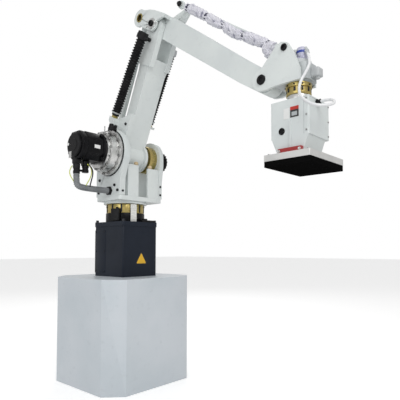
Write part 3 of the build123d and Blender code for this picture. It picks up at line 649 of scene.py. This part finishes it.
def add_base_details():
    low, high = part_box("base_housing")
    lid_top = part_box("base_lid")[1].z
    bolts = Shape()
    bolt_low, bolt_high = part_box("lid_bolts")
    for x in (bolt_low.x + 9 * MM, bolt_high.x - 9 * MM):
        for y in (bolt_low.y + 9 * MM, bolt_high.y - 9 * MM):
            bolts.hex_head(facing((x, y, lid_top), Z), 8, 12)
    finished("lid_bolt_heads", bolts, DARK_STEEL, "base", ["lid_bolts"])

    cover = Shape()
    middle = Vector(((low.x * 1.6 + high.x * 0.4) / 2, low.y, (low.z + high.z) / 2))
    width, height = 92 * MM, high.z - low.z - 34 * MM
    cover.block((width, 2.4 * MM, height), Matrix.Translation(middle), 1.0 * MM)
    finished("housing_cover", cover, SLATE, "base")
    screws = Shape()
    for x in (-1, 1):
        for z in (-1, 0, 1):
            spot = middle + Vector((x * (width / 2 - 8 * MM), -1.2 * MM, z * (height / 2 - 9 * MM)))
            screws.cap_screw(facing(spot, -Y), 3.4, 2.2)
    finished("housing_cover_screws", screws, DARK_STEEL, "base")

    bracket = Shape()
    bracket.block(point(20, 78, 11), stood(110, 55, 802.5), 2 * MM)
    bracket.block(point(14, 26, 9), stood(110, 40, 811), 2 * MM)
    finished("lid_bracket", bracket, BLACK_PLASTIC, "base")

    ribs = Shape()
    ring_low, ring_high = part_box("turn_reducer")
    ring_radius = ring_high.x
    for i in range(12):
        angle = 2 * math.pi * i / 12 + 0.2
        out = Vector((math.cos(angle), math.sin(angle), 0))
        spot = out * (ring_radius + 0.5 * MM) + Z * (ring_low.z + ring_high.z) / 2
        size = (3 * MM, 9 * MM, ring_high.z - ring_low.z - 6 * MM)
        ribs.block(size, facing(spot, Z, out), 1.2 * MM)
        spot = out * (ring_radius + 1.5 * MM) + Z * (ring_high.z - 12 * MM)
        ribs.cap_screw(facing(spot, out), 3, 2.5)
    finished("turn_reducer_ribs", ribs, DARK_STEEL, "base")


def add_sensor():
    sensor = Shape()
    turn = Matrix.Rotation(math.radians(-62), 4, "Z")
    body = stood(53, -100, 831) @ turn
    sensor.block(point(17, 44, 62), body, 3 * MM, 3)
    sensor.block(point(20, 30, 14), body @ Matrix.Translation((0, 0, -22 * MM)), 2 * MM)
    sensor.turned([(0, 0), (7, 0), (7, 6), (5, 9), (0, 9)], body @ facing((0, 10 * MM, 30 * MM), Z), 24)
    finished("home_sensor_body", sensor, BLACK_PLASTIC, "base", ["home_sensor"])


def add_strap():
    strap = Shape()
    out = Vector((math.cos(math.radians(-14)), math.sin(math.radians(-14)), 0))
    across = Z.cross(out)
    line = []
    for i in range(25):
        share = i / 24
        bulge = 2.2 * MM * math.sin(math.pi * share) + 0.8 * MM * math.sin(9 * share)
        line.append(out * (105 * MM + bulge) + Z * (798 * MM + 88 * MM * share))
    strip(strap, line, across, 32 * MM, 1.6 * MM)
    strap.block(point(5, 34, 7), facing(out * 106 * MM + Z * 868 * MM, Z, out), 1 * MM)
    finished("strap_tape", strap, TAPE, "base", ["cable_strap"])


def add_sign():
    """A plain yellow triangle with a dark rim and no symbol."""
    middle = Vector((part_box("base_housing")[1].x, 11 * MM, 604 * MM))
    place = facing(middle, X, Y)
    for name, side, depth, material in (
        ("sign_rim", 74 * MM, 0.8 * MM, SIGN_BLACK),
        ("sign_face", 62 * MM, 1.1 * MM, SIGN_YELLOW),
    ):
        outline = []
        reach = side / math.sqrt(3)
        for i in range(3):
            corner = math.radians(90 + 120 * i)
            centre = Vector((math.cos(corner), math.sin(corner))) * (reach - 8 * MM)
            for k in range(-4, 5):
                angle = corner + math.radians(15 * k)
                outline.append(centre + Vector((math.cos(angle), math.sin(angle))) * 4 * MM)
        sign = Shape()
        sign.prism([tuple(corner) for corner in outline], place, depth, 0)
        finished(name, sign, material, "base")


# ---- turret --------------------------------------------------------------


def add_bumpers():
    bumpers = Shape()
    for y, top in ((-20, 1085), (70, 1078)):
        bumpers.turned(
            [
                (0, 0), (8, 0), (8, 2), (11, 3), (11.6, 8), (10.4, 13), (7, 16.6), (3, 17.8),
                (0, 18),
            ],
            facing(point(112, y, top), Z),
            32,
        )
    finished("bumper_stops", bumpers, BUMPER, "turret", ["bumpers"])


def add_reducer_details():
    screws = Shape()
    for ring, face, count in ((105.5, DRUM_FACE, 16), (91, CAP_FACE, 12)):
        for i in range(count):
            angle = math.radians(7 + 360 * i / count)
            spot = SHOULDER + Vector((math.cos(angle), 0, math.sin(angle))) * ring * MM
            spot.y = face * MM
            screws.cap_screw(facing(spot, -Y), 6, 7.5)
    finished("reducer_cap_screws", screws, SCREW_STEEL, "turret", ["reducer_screws"])

    seal = Shape()
    centre = Vector((SHOULDER.x, NEAR_CHEEK_FACE * MM, SHOULDER.z))
    seal.turned([(108, 0), (116, 0), (116, 3), (108, 3)], facing(centre, -Y), 96, ring=True)
    for face, radius in ((DRUM_FACE + 0.5, 98.5), (CAP_FACE + 0.5, 84.5)):
        groove = Vector((SHOULDER.x, face * MM, SHOULDER.z))
        seal.turned(
            [(radius - 1, 0), (radius + 1, 0), (radius + 1, 1), (radius - 1, 1)],
            facing(groove, -Y),
            96,
            ring=True,
        )
    finished("reducer_seal", seal, BLACK_PLASTIC, "turret")

    plug = Shape()
    plug.block(point(46, 24, 22), stood(66, -133, 1256), 4 * MM, 3)
    plug.turned(
        [(0, 0), (13, 0), (13, 9), (11, 11), (11, 16), (0, 17)],
        facing(point(58, -133, 1266), Z),
        28,
    )
    plug.turned([(0, 0), (8, 0), (8, 14), (0, 15)], facing(point(84, -133, 1258), X + Z * 0.6), 24)
    finished("reducer_connector", plug, BLACK_PLASTIC, "turret")

    post = Shape()
    post.turned([(0, 0), (2.4, 0), (2.4, 34), (0, 35)], facing(point(38, -158, 1236), Z), 16)
    post.turned([(0, 0), (5, 0), (5, 6), (0, 6)], facing(point(38, -158, 1236), Z), 16)
    finished("reducer_post", post, SCREW_STEEL, "turret")

    cheek = Shape()
    for x, z in ((77, 976), (102, 949), (20, 946), (-58, 946), (-50, 1010)):
        cheek.cap_screw(facing(point(x, NEAR_CHEEK_FACE, z), -Y), 7, 6)
    for y, z in ((-106, 946), (137, 946), (137, 990)):
        cheek.cap_screw(facing(point(118.5, y, z), X), 5.5, 4)
    finished("turret_screws", cheek, DARK_STEEL, "turret")


def octagon(half, cut):
    """Corners of a square with its corners cut, going round."""
    side = half - cut
    return [
        (half, -side), (half, side), (side, half), (-side, half), (-half, side), (-half, -side),
        (-side, -half), (side, -half),
    ]


def add_shoulder_motor():
    low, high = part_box("shoulder_motor")
    centre_x, centre_z = (low.x + high.x) / 2, (low.z + high.z) / 2
    half = (high.x - low.x) / 2

    def at(y):
        return facing(Vector((centre_x, y * MM, centre_z)), -Y)

    motor = Shape()
    motor.prism(octagon(half, 24 * MM), at(MOTOR_FACE), 13 * MM, 1.5 * MM)
    motor.prism(octagon(half - 2 * MM, 32 * MM), at(MOTOR_STEP), 83 * MM, 2 * MM)
    motor.prism(octagon(half - 3 * MM, 33 * MM), at(MOTOR_REAR), 29 * MM, 3 * MM)
    motor.turned([(0, 0), (58, 0), (58, 6), (54, 10), (30, 10), (28, 12), (0, 12)], at(MOTOR_END), 64)
    for x in (-1, 1):
        for z in (-1, 1):
            spot = Vector((centre_x + x * 52 * MM, MOTOR_STEP * MM, centre_z + z * 52 * MM))
            motor.cap_screw(facing(spot, -Y), 6, 8)
    finished("shoulder_servo", motor, BLACK_PAINT, "turret", ["shoulder_motor"], 30)

    fins = Shape()
    for face in range(4):
        turn = Matrix.Rotation(math.radians(90 * face), 4, "Y")
        for k in range(-3, 4):
            spot = turn @ Vector((half - 2.6 * MM, 0, k * 9.5 * MM))
            place = Matrix.Translation(spot + Vector((centre_x, -244 * MM, centre_z))) @ turn
            fins.block(point(2.4, 44, 3), place, 0.8 * MM)
    finished("servo_fins", fins, BLACK_PAINT, "turret")

    label = Shape()
    face = centre_x + half - 0.6 * MM
    label.block(point(1.6, 31, 17), Matrix.Translation((face, -240 * MM, 1142 * MM)), 0.5 * MM)
    finished("servo_label", label, LABEL_WHITE, "turret")
    dot = Shape()
    dot.turned([(0, 0), (7, 0), (7, 0.8), (0, 0.8)], facing(point(-7, -328, 1154), -Y), 24)
    finished("servo_dot", dot, LABEL_WHITE, "turret")
    plate = Shape()
    plate.block(point(22, 1.2, 30), stood(8, -327, 1103), 0.5 * MM)
    finished("servo_plate", plate, STEEL, "turret")


def corrugated(shape, line, radius, pitch, depth, sides=28):
    """A conduit with rounded crests and narrow valleys along points."""
    fine, length = evenly(line, pitch / 8)
    waves = round(length / pitch)

    def reach(share, angle):
        wave = math.sin(2 * math.pi * waves * share)
        crest = 0.5 + 0.5 * math.tanh(2.6 * wave) / math.tanh(2.6)
        return radius - depth * (1 - crest)

    shape.swept(fine, reach, sides)


MOTOR_CONDUIT = (
    (PLUG_X, -308, 1012), (PLUG_X, -308, 984), (PLUG_X, -304, 958), (PLUG_X, -278, 950),
    (PLUG_X, -200, 949), (PLUG_X, -123, 950),
)
SERVO_WIRES = (
    (
        (52, -262, 1062), (60, -250, 1052), (64, -244, 1024), (60, -250, 996), (50, -262, 968),
        (40, -262, 958),
    ),
    ((22, -322, 1050), (14, -330, 1036), (12, -331, 1010), (18, -322, 990), (26, -314, 972)),
)
SIGNAL_CABLE = (
    (
        (58, -258, 1060), (70, -248, 1044), (74, -244, 1016), (66, -248, 984), (52, -246, 962),
        (42, -240, 956),
    ),
)


def add_motor_cables():
    plugs = Shape()
    for y, top, bottom in ((-308, 1084, 1012.5), (-262, 1080, 1022.5)):
        plugs.block(point(33, 31, 24), stood(PLUG_X, y, top - 13), 4 * MM, 3)
        plugs.turned(
            [
                (0, 0), (14.5, 0), (16, 3), (16, 13), (14, 15), (14, 22), (16.5, 24),
                (16.5, top - 26 - bottom), (0, top - 26 - bottom),
            ],
            facing(point(PLUG_X, y, bottom), Z),
            36,
        )
    plugs.block(point(12, 34, 10), stood(PLUG_X, -285, 1030), 3 * MM)
    finished("servo_connectors", plugs, BLACK_PLASTIC, "turret", ["motor_plugs"])

    conduit = Shape()
    line = routed(MOTOR_CONDUIT)
    corrugated(conduit, line, 15 * MM, 6.5 * MM, 2 * MM, 24)
    finished("motor_cable_conduit", conduit, CONDUIT_GREY, "turret", ["motor_conduit"])
    nut = Shape()
    nut.turned(
        [(0, 0), (20, 0, "hex"), (20, 10, "hex"), (17, 12), (0, 12)],
        facing(point(PLUG_X, -123, 950), -Y),
    )
    finished("motor_conduit_nut", nut, BLACK_PLASTIC, "turret")

    for name, material, radius, sides, routes in (
        ("servo_wires", YELLOW_GREEN, 2.2, 10, SERVO_WIRES),
        ("servo_signal_cable", BLACK_PLASTIC, 3, 12, SIGNAL_CABLE),
    ):
        wires = Shape()
        for route in routes:
            fine = evenly(routed(route), 4 * MM)[0]
            wires.swept(fine, radius * MM, sides)
        finished(name, wires, material, "turret")


def add_elbow_motor():
    low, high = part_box("elbow_motor")
    centre = Vector((SHOULDER.x, low.y, SHOULDER.z))
    long = (high.y - low.y) / MM
    motor = Shape()
    motor.turned(
        [
            (0, 0), (56, 0), (56, 9), (50, 10), (50, long - 6), (46, long - 1), (22, long - 1),
            (20, long), (0, long),
        ],
        facing(centre, Y),
        64,
    )
    for i in range(20):
        angle = 2 * math.pi * i / 20
        out = Vector((math.cos(angle), 0, math.sin(angle)))
        place = facing(centre + out * 52 * MM + Y * (long / 2 + 2) * MM, Y, out)
        motor.block(point(8, 7, long - 18), place, 1.2 * MM)
    finished("elbow_servo", motor, BLACK_PAINT, "turret", ["elbow_motor"])


# ---- lower arm and elbow -------------------------------------------------

NEAR_CONDUIT = ((46, -96, 1352), (124, -99, 1470), (200, -104, 1585), (272, -109, 1678))
FAR_CONDUIT = ((66, 112, 1350), (126, 112, 1465), (184, 112, 1580), (238, 112, 1685))


def add_conduits():
    for name, node, route, radius in (
        ("near_corrugated_conduit", "near_conduit", NEAR_CONDUIT, 23),
        ("far_corrugated_conduit", "far_conduit", FAR_CONDUIT, 21),
    ):
        conduit = Shape()
        line = routed(route)
        corrugated(conduit, line, radius * MM, 13 * MM, 5 * MM)
        finished(name, conduit, CONDUIT, "lower_arm", [node])

    rings, nuts, brass = Shape(), Shape(), Shape()
    for route in (NEAR_CONDUIT, FAR_CONDUIT):
        low = point(*route[0])
        down = (low - point(*route[1])).normalized()
        place = facing(low, down)
        rings.turned([(0, -3), (24, -3), (24.5, 0), (21, 4), (18, 5), (0, 5)], place)
        nuts.turned([(0, 5), (17.5, 5), (18, 7, "hex"), (18, 15, "hex"), (0, 15)], place)
        brass.turned([(0, 15), (13, 15), (13, 18), (15, 19, "hex"), (15, 26, "hex"), (0, 26)], place)
    finished("gland_rings", rings, GREY_PLASTIC, "lower_arm")
    finished("gland_nuts", nuts, BLACK_PLASTIC, "lower_arm")
    finished("gland_bodies", brass, BRASS, "lower_arm", ["conduit_glands"])


def add_cuffs():
    for name, route, radius, ear, material in (
        ("near_cuff", NEAR_CONDUIT, 23, -62, BLACK_PLASTIC),
        ("far_cuff", FAR_CONDUIT, 21, 62, GREY_PLASTIC),
    ):
        cuff = Shape()
        top = point(*route[-1])
        up = (top - point(*route[-2])).normalized()
        outer, inner = radius + 4, radius - 5
        cuff.turned(
            [
                (radius, -24), (outer, -23), (outer, -4), (outer - 1.5, -2), (outer - 1.5, 6),
                (outer - 3, 8), (inner, 8), (inner, 2), (radius - 4, -6),
            ],
            facing(top, up),
            48,
            ring=True,
        )
        grip = top - up * 12 * MM
        reach = abs(ear - grip.y / MM) - radius - 1
        outward = Y if ear < 0 else -Y
        cuff.turned(
            [(0, 0), (9, 0), (9, reach), (0, reach)],
            facing(Vector((grip.x, ear * MM, grip.z)), -outward),
            24,
        )
        finished(name, cuff, material, "lower_arm", ["conduit_cuffs"])


def add_arm_details():
    screws = Shape()
    screws.cap_screw(facing(point(112.7, ARM_NEAR_FACE, 1282.5), -Y), 7, 5)
    for turn in (35, 75, 115, 155, 195, 235, 275, 315, 355):
        angle = math.radians(turn)
        spot = SHOULDER + Vector((math.cos(angle), 0, math.sin(angle))) * 68 * MM
        spot.y = ARM_FAR_FACE * MM
        screws.cap_screw(facing(spot, Y), 4, 3.5)
    finished("arm_screws", screws, DARK_STEEL, "lower_arm")

    cap = Shape()
    place = facing(Vector((ELBOW.x, ELBOW_CAP_FACE * MM, ELBOW.z)), -Y)
    cap.turned([(0, 0), (14, 0), (14, 8), (12, 11), (7.5, 11), (6.5, 6, "hex"), (0, 6)], place)
    finished("elbow_pin_cap", cap, BLACK_PLASTIC, "lower_arm", ["elbow_cap"])

    ring = Shape()
    place = facing(Vector((ELBOW.x, FORK_FACE * MM, ELBOW.z)), -Y)
    ring.turned([(15, 0), (25, 0), (25, 3), (23.5, 4.5), (15, 4.5)], place, 64, ring=True)
    for x, z in ((267.4, 1751.2), (263.9, 1726.8), (331, 1722)):
        ring.cap_screw(facing(point(x, FORK_FACE, z), -Y), 4.6, 4)
    finished("elbow_flange_ring", ring, STEEL, "forearm")

    knob = Shape()
    knob.turned(
        [(0, 0), (10, 0), (13, 2), (13, 7), (9, 9), (8, 14), (0, 14)],
        facing(Vector((LINK_TOP.x, 8 * MM, LINK_TOP.z)), -Y),
        32,
    )
    finished("link_pin_knob", knob, BLACK_PLASTIC, "elbow_link", ["link_knob"])


# ---- cable sleeve --------------------------------------------------------


def wrinkled(strap_places, seed, base, tuck):
    """Radius of a stuffed cloth tube, gathered at its straps and creased between them."""

    def reach(share, angle):
        radius = base
        for k, strap in enumerate(strap_places):
            away = abs(share - strap)
            pinch = math.exp(-((away / 0.022) ** 2))
            gather = math.exp(-((away / 0.075) ** 2))
            radius -= tuck * pinch
            radius += 1.7 * MM * gather * math.sin((7 + k) * angle + 2.1 * k + 40 * share)
        long = noise.noise(Vector((9 * share, math.cos(angle), math.sin(angle) + seed)))
        spot = Vector((26 * share + 1.6 * math.cos(angle), 2 * math.sin(angle), seed))
        slack = 1 - abs(noise.noise(spot))
        spot = Vector((60 * share, 2.4 * math.sin(angle - 20 * share), seed + 5))
        crease = 1 - abs(noise.noise(spot))
        radius += 4.0 * MM * long + 4.0 * MM * (slack**3 - 0.5) + 2.0 * MM * (crease**6 - 0.3)
        return radius

    return reach


def add_sleeve():
    rod = LINK_TOP + Y * 20 * MM
    first, step, last = 46, 66, 640
    route = [rod + ROD_ALONG * first * MM]
    for i, sag in enumerate((0, 1, 5, 8, 12, 20, 13, 10, 5)):
        route.append(rod + ROD_ALONG * (first + step * (i + 0.5)) * MM - Z * sag * MM)
    route.append(rod + ROD_ALONG * last * MM - Z * 10 * MM)
    line = evenly(spline_points(route), 2.2 * MM)[0]
    straps = (0.02, 0.26, 0.47, 0.70, 0.94)
    shape_of = wrinkled(straps, 3.0, 20.5 * MM, 6 * MM)
    sleeve = Shape()
    sleeve.swept(line, shape_of, 64)
    piece = finished(
        "sleeve_cloth", sleeve, TEXTILE, "upper_rod", ["cable_sleeve"], 80
    )

    bands = Shape()
    for strap in straps:
        i = round(strap * (len(line) - 1))
        around = line[max(0, i - 3) : i + 4]
        mean = sum(shape_of(strap, k) for k in range(6)) / 6
        bands.swept(around, mean + 1.0 * MM, 40)
    finished("sleeve_straps", bands, DARK_TAPE, "upper_rod")

    droop_route = [
        line[-1] - ROD_ALONG * 30 * MM,
        line[-1] + ROD_ALONG * 4 * MM,
        point(884, 14, 1470),
        point(899, 16, 1448),
        point(908, 20, 1419),
    ]
    droop_line = evenly(spline_points(droop_route), 1.6 * MM)[0]

    def taper(share, angle):
        ends = min(1.0, (share + 0.05) / 0.25, (1.02 - share) / 0.12)
        return wrinkled((0.5,), 11.0, 19 * MM, 3 * MM)(share, angle) * max(0.25, ends) ** 0.5

    droop = Shape()
    droop.swept(droop_line, taper, 56)
    piece = finished("sleeve_droop", droop, TEXTILE, "upper_rod", sharp=80)


# ---- wrist ---------------------------------------------------------------


def add_wrist_details():
    caps = Shape()
    for centre, radius in ((WRIST, 19), (WRIST_TOP, 13)):
        for side in (-1, 1):
            place = facing(Vector((centre.x, side * WRIST_FACE * MM, centre.z)), Y * side)
            caps.turned(
                [
                    (0, 0), (radius, 0), (radius, 4.5), (radius - 2, 6.5), (0.52 * radius, 6.5),
                    (0.44 * radius, 5.5, "hex"), (0.42 * radius, 2.5, "hex"), (0, 2.5),
                ],
                place,
            )
    finished("wrist_pin_caps", caps, BLACK_PLASTIC, "wrist", ["wrist_caps"])

    low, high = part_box("tool_reducer")
    axis = Vector((TOOL_AXIS.x, 0, low.z))
    ring = Shape()
    tall = (high.z - low.z) / MM
    ring.turned(
        [
            (0, 0), (46, 0), (47, 1.5), (47, 9), (44.5, 10), (44.5, 27), (49, 28), (49, tall),
            (0, tall),
        ],
        facing(axis, Z),
        72,
    )
    finished("tool_reducer_ring", ring, BRASS, "wrist", ["tool_reducer"])
    bars = Shape()
    for i in range(10):
        angle = 2 * math.pi * i / 10 + 0.5
        out = Vector((math.cos(angle), math.sin(angle), 0))
        bars.block(point(3, 8, 15), facing(axis + out * 45 * MM + Z * 18.5 * MM, Z, out), 1 * MM)
        bars.cap_screw(facing(axis + out * 49 * MM + Z * 35 * MM, out), 3.2, 2.5)
    finished("tool_reducer_screws", bars, DARK_STEEL, "wrist")


def add_tool_motor():
    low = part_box("tool_motor")[0]
    centre = Vector((TOOL_AXIS.x + 20 * MM, -10 * MM, low.z))
    motor = Shape()
    motor.block(point(40, 40, 12), Matrix.Translation(centre + Z * 6 * MM), 4 * MM, 3)
    motor.turned(
        [(0, 12), (19, 12), (20, 16), (20, 40), (17, 48), (10, 51.5), (0, 52)],
        facing(centre, Z),
        40,
    )
    finished("tool_servo", motor, LAVENDER, "wrist", ["tool_motor"])
    band = Shape()
    band.turned([(19, 26), (20.8, 26.5), (20.8, 35), (19, 35.5)], facing(centre, Z), 40, ring=True)
    finished("tool_servo_band", band, BLUE, "wrist")

    start = point(*HOSE_ROUTE[0])
    inward = (start - point(*HOSE_ROUTE[1])).normalized()
    fitting = Shape()
    fitting.turned(
        [
            (0, 0), (6.5, 0), (7.5, 2), (7.5, 8), (6.5, 9), (8, 10, "hex"), (8, 17, "hex"),
            (6, 18), (6, 33), (0, 33),
        ],
        facing(start, inward),
        36,
    )
    finished("hose_bulkhead", fitting, GREY_PLASTIC, "wrist")


def add_port():
    low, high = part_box("wrist_port")
    middle = (low + high) / 2
    port = Shape()
    size = high - low
    port.block(tuple(size), Matrix.Translation(middle), 4 * MM, 3)
    flange = Matrix.Translation(middle - X * (size.x / 2 - 3 * MM))
    port.block((5 * MM, size.y + 3 * MM, size.z + 3 * MM), flange, 2 * MM)
    finished("port_box", port, GREY_PLASTIC, "wrist", ["wrist_port"])
    under = Shape()
    under.turned(
        [(0, 0), (9, 0), (9, 7), (7, 9), (0, 9)],
        facing(Vector((middle.x + 2 * MM, middle.y, low.z + MM)), -Z),
        28,
    )
    finished("port_plug", under, GREY_PLASTIC, "wrist")


# ---- gripper -------------------------------------------------------------


def add_gripper_details():
    low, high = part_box("gripper_box")
    near, front = low.y, high.x
    grommet = Shape()
    place = facing(Vector((1029 * MM, near, 1076 * MM)), -Y)
    grommet.turned([(0, 0), (12.5, 0), (12.5, 2), (11, 3), (9, 3), (8, 1), (0, 1)], place, 40)
    finished("gripper_grommet", grommet, BLACK_PLASTIC, "tool")

    screws = Shape()
    for z in (1175, 1119, 1066):
        screws.cap_screw(facing(Vector((1128 * MM, near, z * MM)), -Y), 3.2, 2.4)
        screws.cap_screw(facing(Vector((front, 47 * MM, z * MM)), X), 3.2, 2.4)
    finished("gripper_screws", screws, SCREW_STEEL, "tool")

    seams = Shape()
    upright = Matrix.Translation((1118 * MM, near + 0.2 * MM, 1119.5 * MM))
    seams.block(point(1.6, 1.6, 132), upright, 0.5 * MM)
    level = Matrix.Translation((front - 0.2 * MM, -18 * MM, 1181 * MM))
    seams.block(point(1.6, 140, 1.6), level, 0.5 * MM)
    finished("gripper_seams", seams, WRIST_GREY, "tool")

    rib = Shape()
    outline = [(0, 0), (13 * MM, 0), (10 * MM, 90 * MM), (7 * MM, 100 * MM), (4 * MM, 90 * MM)]
    place = Matrix.Translation((1057 * MM, near + 1 * MM, 1013 * MM))
    place = place @ Matrix.Rotation(math.pi / 2, 4, "X")
    rib.prism(outline, place, 5 * MM, 1.2 * MM)
    finished("gripper_rib", rib, WHITE, "tool")

    for name, x, z, width, height, material in (
        ("label_blank", 1049, 1136, 24, 38, LABEL_WHITE),
        ("label_band", 1081, 1151, 34, 12, LABEL_RED),
        ("label_field", 1081, 1132, 34, 26, SIGN_BLACK),
        ("label_panel", 1081, 1131, 22, 14, WRIST_GREY),
    ):
        plate = Shape()
        proud = 1.5 if name == "label_panel" else 1.1
        spot = Vector((x * MM, near - proud * MM / 2 + 0.2 * MM, z * MM))
        plate.block((width * MM, proud * MM, height * MM), Matrix.Translation(spot), 0.25 * MM, 1)
        finished(name, plate, material, "tool")

    heads = Shape()
    bar_low, bar_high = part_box("manifold")
    for x in (bar_low.x + 7 * MM, bar_high.x - 7 * MM):
        heads.cap_screw(facing(Vector((x, bar_low.y, (bar_low.z + bar_high.z) / 2)), -Y), 5, 4)
    finished("manifold_screws", heads, STEEL, "tool")

    plate_low, plate_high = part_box("gripper_plate")
    bolts = Shape()
    for x in (plate_low.x + 14 * MM, plate_high.x - 14 * MM):
        for y in (plate_low.y + 14 * MM, plate_high.y - 14 * MM):
            bolts.cap_screw(facing(Vector((x, y, plate_high.z)), Z), 5, 5)
    finished("plate_screws", bolts, SCREW_STEEL, "tool")


def add_hose_fitting():
    low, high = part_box("hose_fitting")
    centre = Vector((low.x, (low.y + high.y) / 2, (low.z + high.z) / 2))
    fitting = Shape()
    fitting.turned(
        [
            (0, 0), (9, 0, "hex"), (9, 6, "hex"), (7.5, 7), (7.5, 12), (8.5, 13), (8.5, 16),
            (5.2, 16.5), (0, 16.5),
        ],
        facing(centre, X),
        36,
    )
    finished("hose_push_fitting", fitting, BLACK_PLASTIC, "tool", ["hose_fitting"])


add_camera()
add_studio()
add_floor()
add_hose()
finish_nodes()
add_base_details()
add_sensor()
add_strap()
add_sign()
add_bumpers()
add_reducer_details()
add_shoulder_motor()
add_motor_cables()
add_elbow_motor()
add_conduits()
add_cuffs()
add_arm_details()
add_sleeve()
add_wrist_details()
add_tool_motor()
add_port()
add_gripper_details()
add_hose_fitting()
